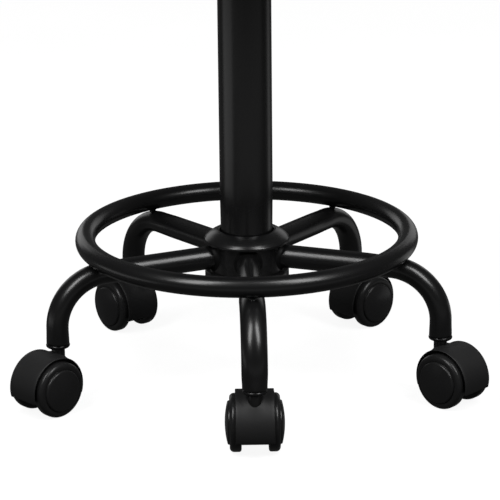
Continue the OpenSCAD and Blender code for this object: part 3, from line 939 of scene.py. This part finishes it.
def grip_mesh(bm):
    """Moulded paddle: round on the rod, flattening and widening to a rounded tip, with finger ribs."""
    rings = []
    sides, count = 40, 44
    start, end, tip_length = 0.120, 0.168, 0.010
    for i in range(count + 1):
        f = i / count
        x = start + (end - start) * f
        spread = ease((f - 0.12) / 0.5)
        half_w = 0.0062 + 0.0029 * spread
        half_t = 0.0062 - 0.0018 * spread
        tip = max(0.0, (x - (end - tip_length)) / tip_length)
        first = max(0.0, 1 - (x - start) / 0.0012)
        close = math.sqrt(max(1 - tip ** 2.4, 0.0)) * (1 - 0.14 * first)
        rib = 0.00022 * math.sin((x - start) / 0.0022 * math.pi) if 0.3 < f < 0.72 else 0
        power = 2 + 1.2 * spread
        ring = []
        for j in range(sides):
            t = TAU * j / sides
            c, s = math.cos(t), math.sin(t)
            y = half_w * close * math.copysign(abs(c) ** (2 / power), c)
            tall = half_t * (0.35 + 0.65 * close) * (close > 0.02) + rib * abs(s)
            z = tall * math.copysign(abs(s) ** (2 / power), s)
            ring.append(Vector((x, y, LEVER_DROP_Z + z)))
        rings.append(ring)
    loft(bm, rings, cap=True)


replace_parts(piece("bent_lever", lever_mesh, "black_powder_coat", "lever"), "release_lever")
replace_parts(piece("paddle_grip", grip_mesh, "black_plastic", "lever"), "lever_grip")

# ---- Stage, lights and camera ----


ALL_BUT_CAMERA = ("diffuse", "glossy", "shadow", "transmission", "volume_scatter")


def make_floor():
    """A plain white floor, left out of reflections as if black cards lay round the object."""
    mesh = bpy.data.meshes.new("floor")
    bm = bmesh.new()
    bmesh.ops.create_grid(bm, x_segments=2, y_segments=2, size=12)
    bm.to_mesh(mesh)
    bm.free()
    floor = link("floor", mesh)
    floor.visible_glossy = False
    floor.visible_diffuse = False
    p = Paint("pale_floor")
    cloud = p.noise(3, 3)
    colour = p.mix(cloud, (0.19, 0.19, 0.19), (0.21, 0.21, 0.21))
    glow = p.mix(cloud, (0.99, 0.99, 0.99), (1.0, 1.0, 1.0))
    p.set(Roughness=0.9, Specular_IOR_Level=0.0)
    mesh.materials.append(p.set(Base_Color=colour, Emission_Color=glow, Emission_Strength=0.92))


def make_backdrop():
    """A white dome round the floor, which only the camera sees."""
    mesh = bpy.data.meshes.new("backdrop")
    bm = bmesh.new()
    lathe(bm, [(11.8, -0.01), (11.8, 4.0), (10.5, 7.0), (7.0, 9.5), (0.5, 11.0)], 64)
    bm.to_mesh(mesh)
    bm.free()
    backdrop = link("backdrop", mesh)
    for ray in ALL_BUT_CAMERA:
        setattr(backdrop, "visible_" + ray, False)
    p = Paint("pale_backdrop")
    glow = p.mix(p.noise(1, 2), (0.945, 0.945, 0.945), (0.965, 0.965, 0.965))
    p.set(Base_Color=(0.02, 0.02, 0.02), Roughness=0.9)
    mesh.materials.append(p.set(Emission_Color=glow, Emission_Strength=1.0))


def make_world():
    """A dim grey surrounding."""
    world = bpy.data.worlds.new("studio")
    world.use_nodes = True
    background = world.node_tree.nodes["Background"]
    background.inputs["Color"].default_value = (1, 1, 1, 1)
    background.inputs["Strength"].default_value = 0.07
    bpy.context.scene.world = world
    bpy.context.scene.view_settings.view_transform = "Standard"


def soft_box(name, azimuth, elevation, distance, size, radiance):
    """A rectangular light facing the stool. Azimuth 0 is in front and 90 to the right, in degrees."""
    data = bpy.data.lights.new(name, "AREA")
    data.shape = "RECTANGLE"
    data.size, data.size_y = size
    data.energy = radiance * size[0] * size[1] * math.pi
    light = link(name, data)
    a, e = math.radians(azimuth), math.radians(elevation)
    centre = Vector((0, 0, 0.2))
    away = Vector((math.sin(a) * math.cos(e), -math.cos(a) * math.cos(e), math.sin(e)))
    light.location = centre + away * distance
    light.rotation_mode = "QUATERNION"
    light.rotation_quaternion = (-away).to_track_quat("-Z", "Y")
    light.visible_camera = False


def floor_card(name, azimuth, near, far, width, radiance):
    """A bright fan lying on the floor, seen only in reflections. width is its breadth over its distance."""
    mesh = bpy.data.meshes.new(name)
    a = math.radians(azimuth)
    away, across = Vector((math.sin(a), -math.cos(a), 0)), Vector((math.cos(a), math.sin(a), 0))
    corners = []
    for reach, side in ((near, -1), (far, -1), (far, 1), (near, 1)):
        corners.append(away * reach + across * (side * width * reach / 2) + UP * 0.002)
    mesh.from_pydata(corners, [], [(0, 1, 2, 3)])
    card = link(name, mesh)
    for ray in ("camera", "diffuse", "shadow", "transmission", "volume_scatter"):
        setattr(card, "visible_" + ray, False)
    p = Paint(name)
    fade = p.span(p.noise(4, 2), 0.3, 0.7, 0.9, 1.0)
    glow = p.mix(fade, (0.9, 0.9, 0.9), (1.0, 1.0, 1.0))
    p.set(Base_Color=(0.02, 0.02, 0.02), Roughness=0.9)
    mesh.materials.append(p.set(Emission_Color=glow, Emission_Strength=radiance))


make_floor()
make_backdrop()
make_world()
soft_box("soft_box_left", -42, 48, 2.4, (0.7, 1.5), 10.5)
soft_box("soft_box_right", 42, 48, 2.4, (0.7, 1.5), 10.5)
soft_box("back_card_left", -154, 10, 3.0, (1.3, 1.4), 0.8)
soft_box("back_card_right", 154, 10, 3.0, (1.3, 1.4), 0.55)
floor_card("card_left", -82, 0.62, 2.2, 0.9, 0.8)
floor_card("card_right", 118, 0.3, 2.2, 0.35, 0.45)
floor_card("card_front", 10, 0.45, 2.2, 4.4, 0.2)

AIM_HEIGHT = 0.140
DISTANCE = 2.25
ELEVATION = math.radians(17.65)
YAW = math.radians(-1.75)
ROLL = 0.0105
LENS = 170.424
AIM_RIGHT = 0.0030
AIM_DOWN = 0.0068


def make_camera():
    """A long lens from the front, looking down a little on the base, rolled by half a degree."""
    data = bpy.data.cameras.new("camera")
    data.sensor_width = 36
    data.lens = LENS
    data.clip_start, data.clip_end = 0.05, 50
    cam = link("camera", data)
    side = Vector((math.cos(YAW), math.sin(YAW), 0))
    level = Vector((math.sin(YAW), -math.cos(YAW), 0))
    back = level * math.cos(ELEVATION) + UP * math.sin(ELEVATION)
    up = back.cross(side)
    target = Vector((0, 0, AIM_HEIGHT))
    place = target + back * DISTANCE
    aim = target + side * AIM_RIGHT - up * AIM_DOWN
    back = (place - aim).normalized()
    side = up.cross(back).normalized()
    up = back.cross(side)
    across = side * math.cos(ROLL) - up * math.sin(ROLL)
    upward = up * math.cos(ROLL) + side * math.sin(ROLL)
    cam.matrix_world = Matrix.Translation(place) @ Matrix((across, upward, back)).transposed().to_4x4()
    bpy.context.scene.camera = cam


make_camera()
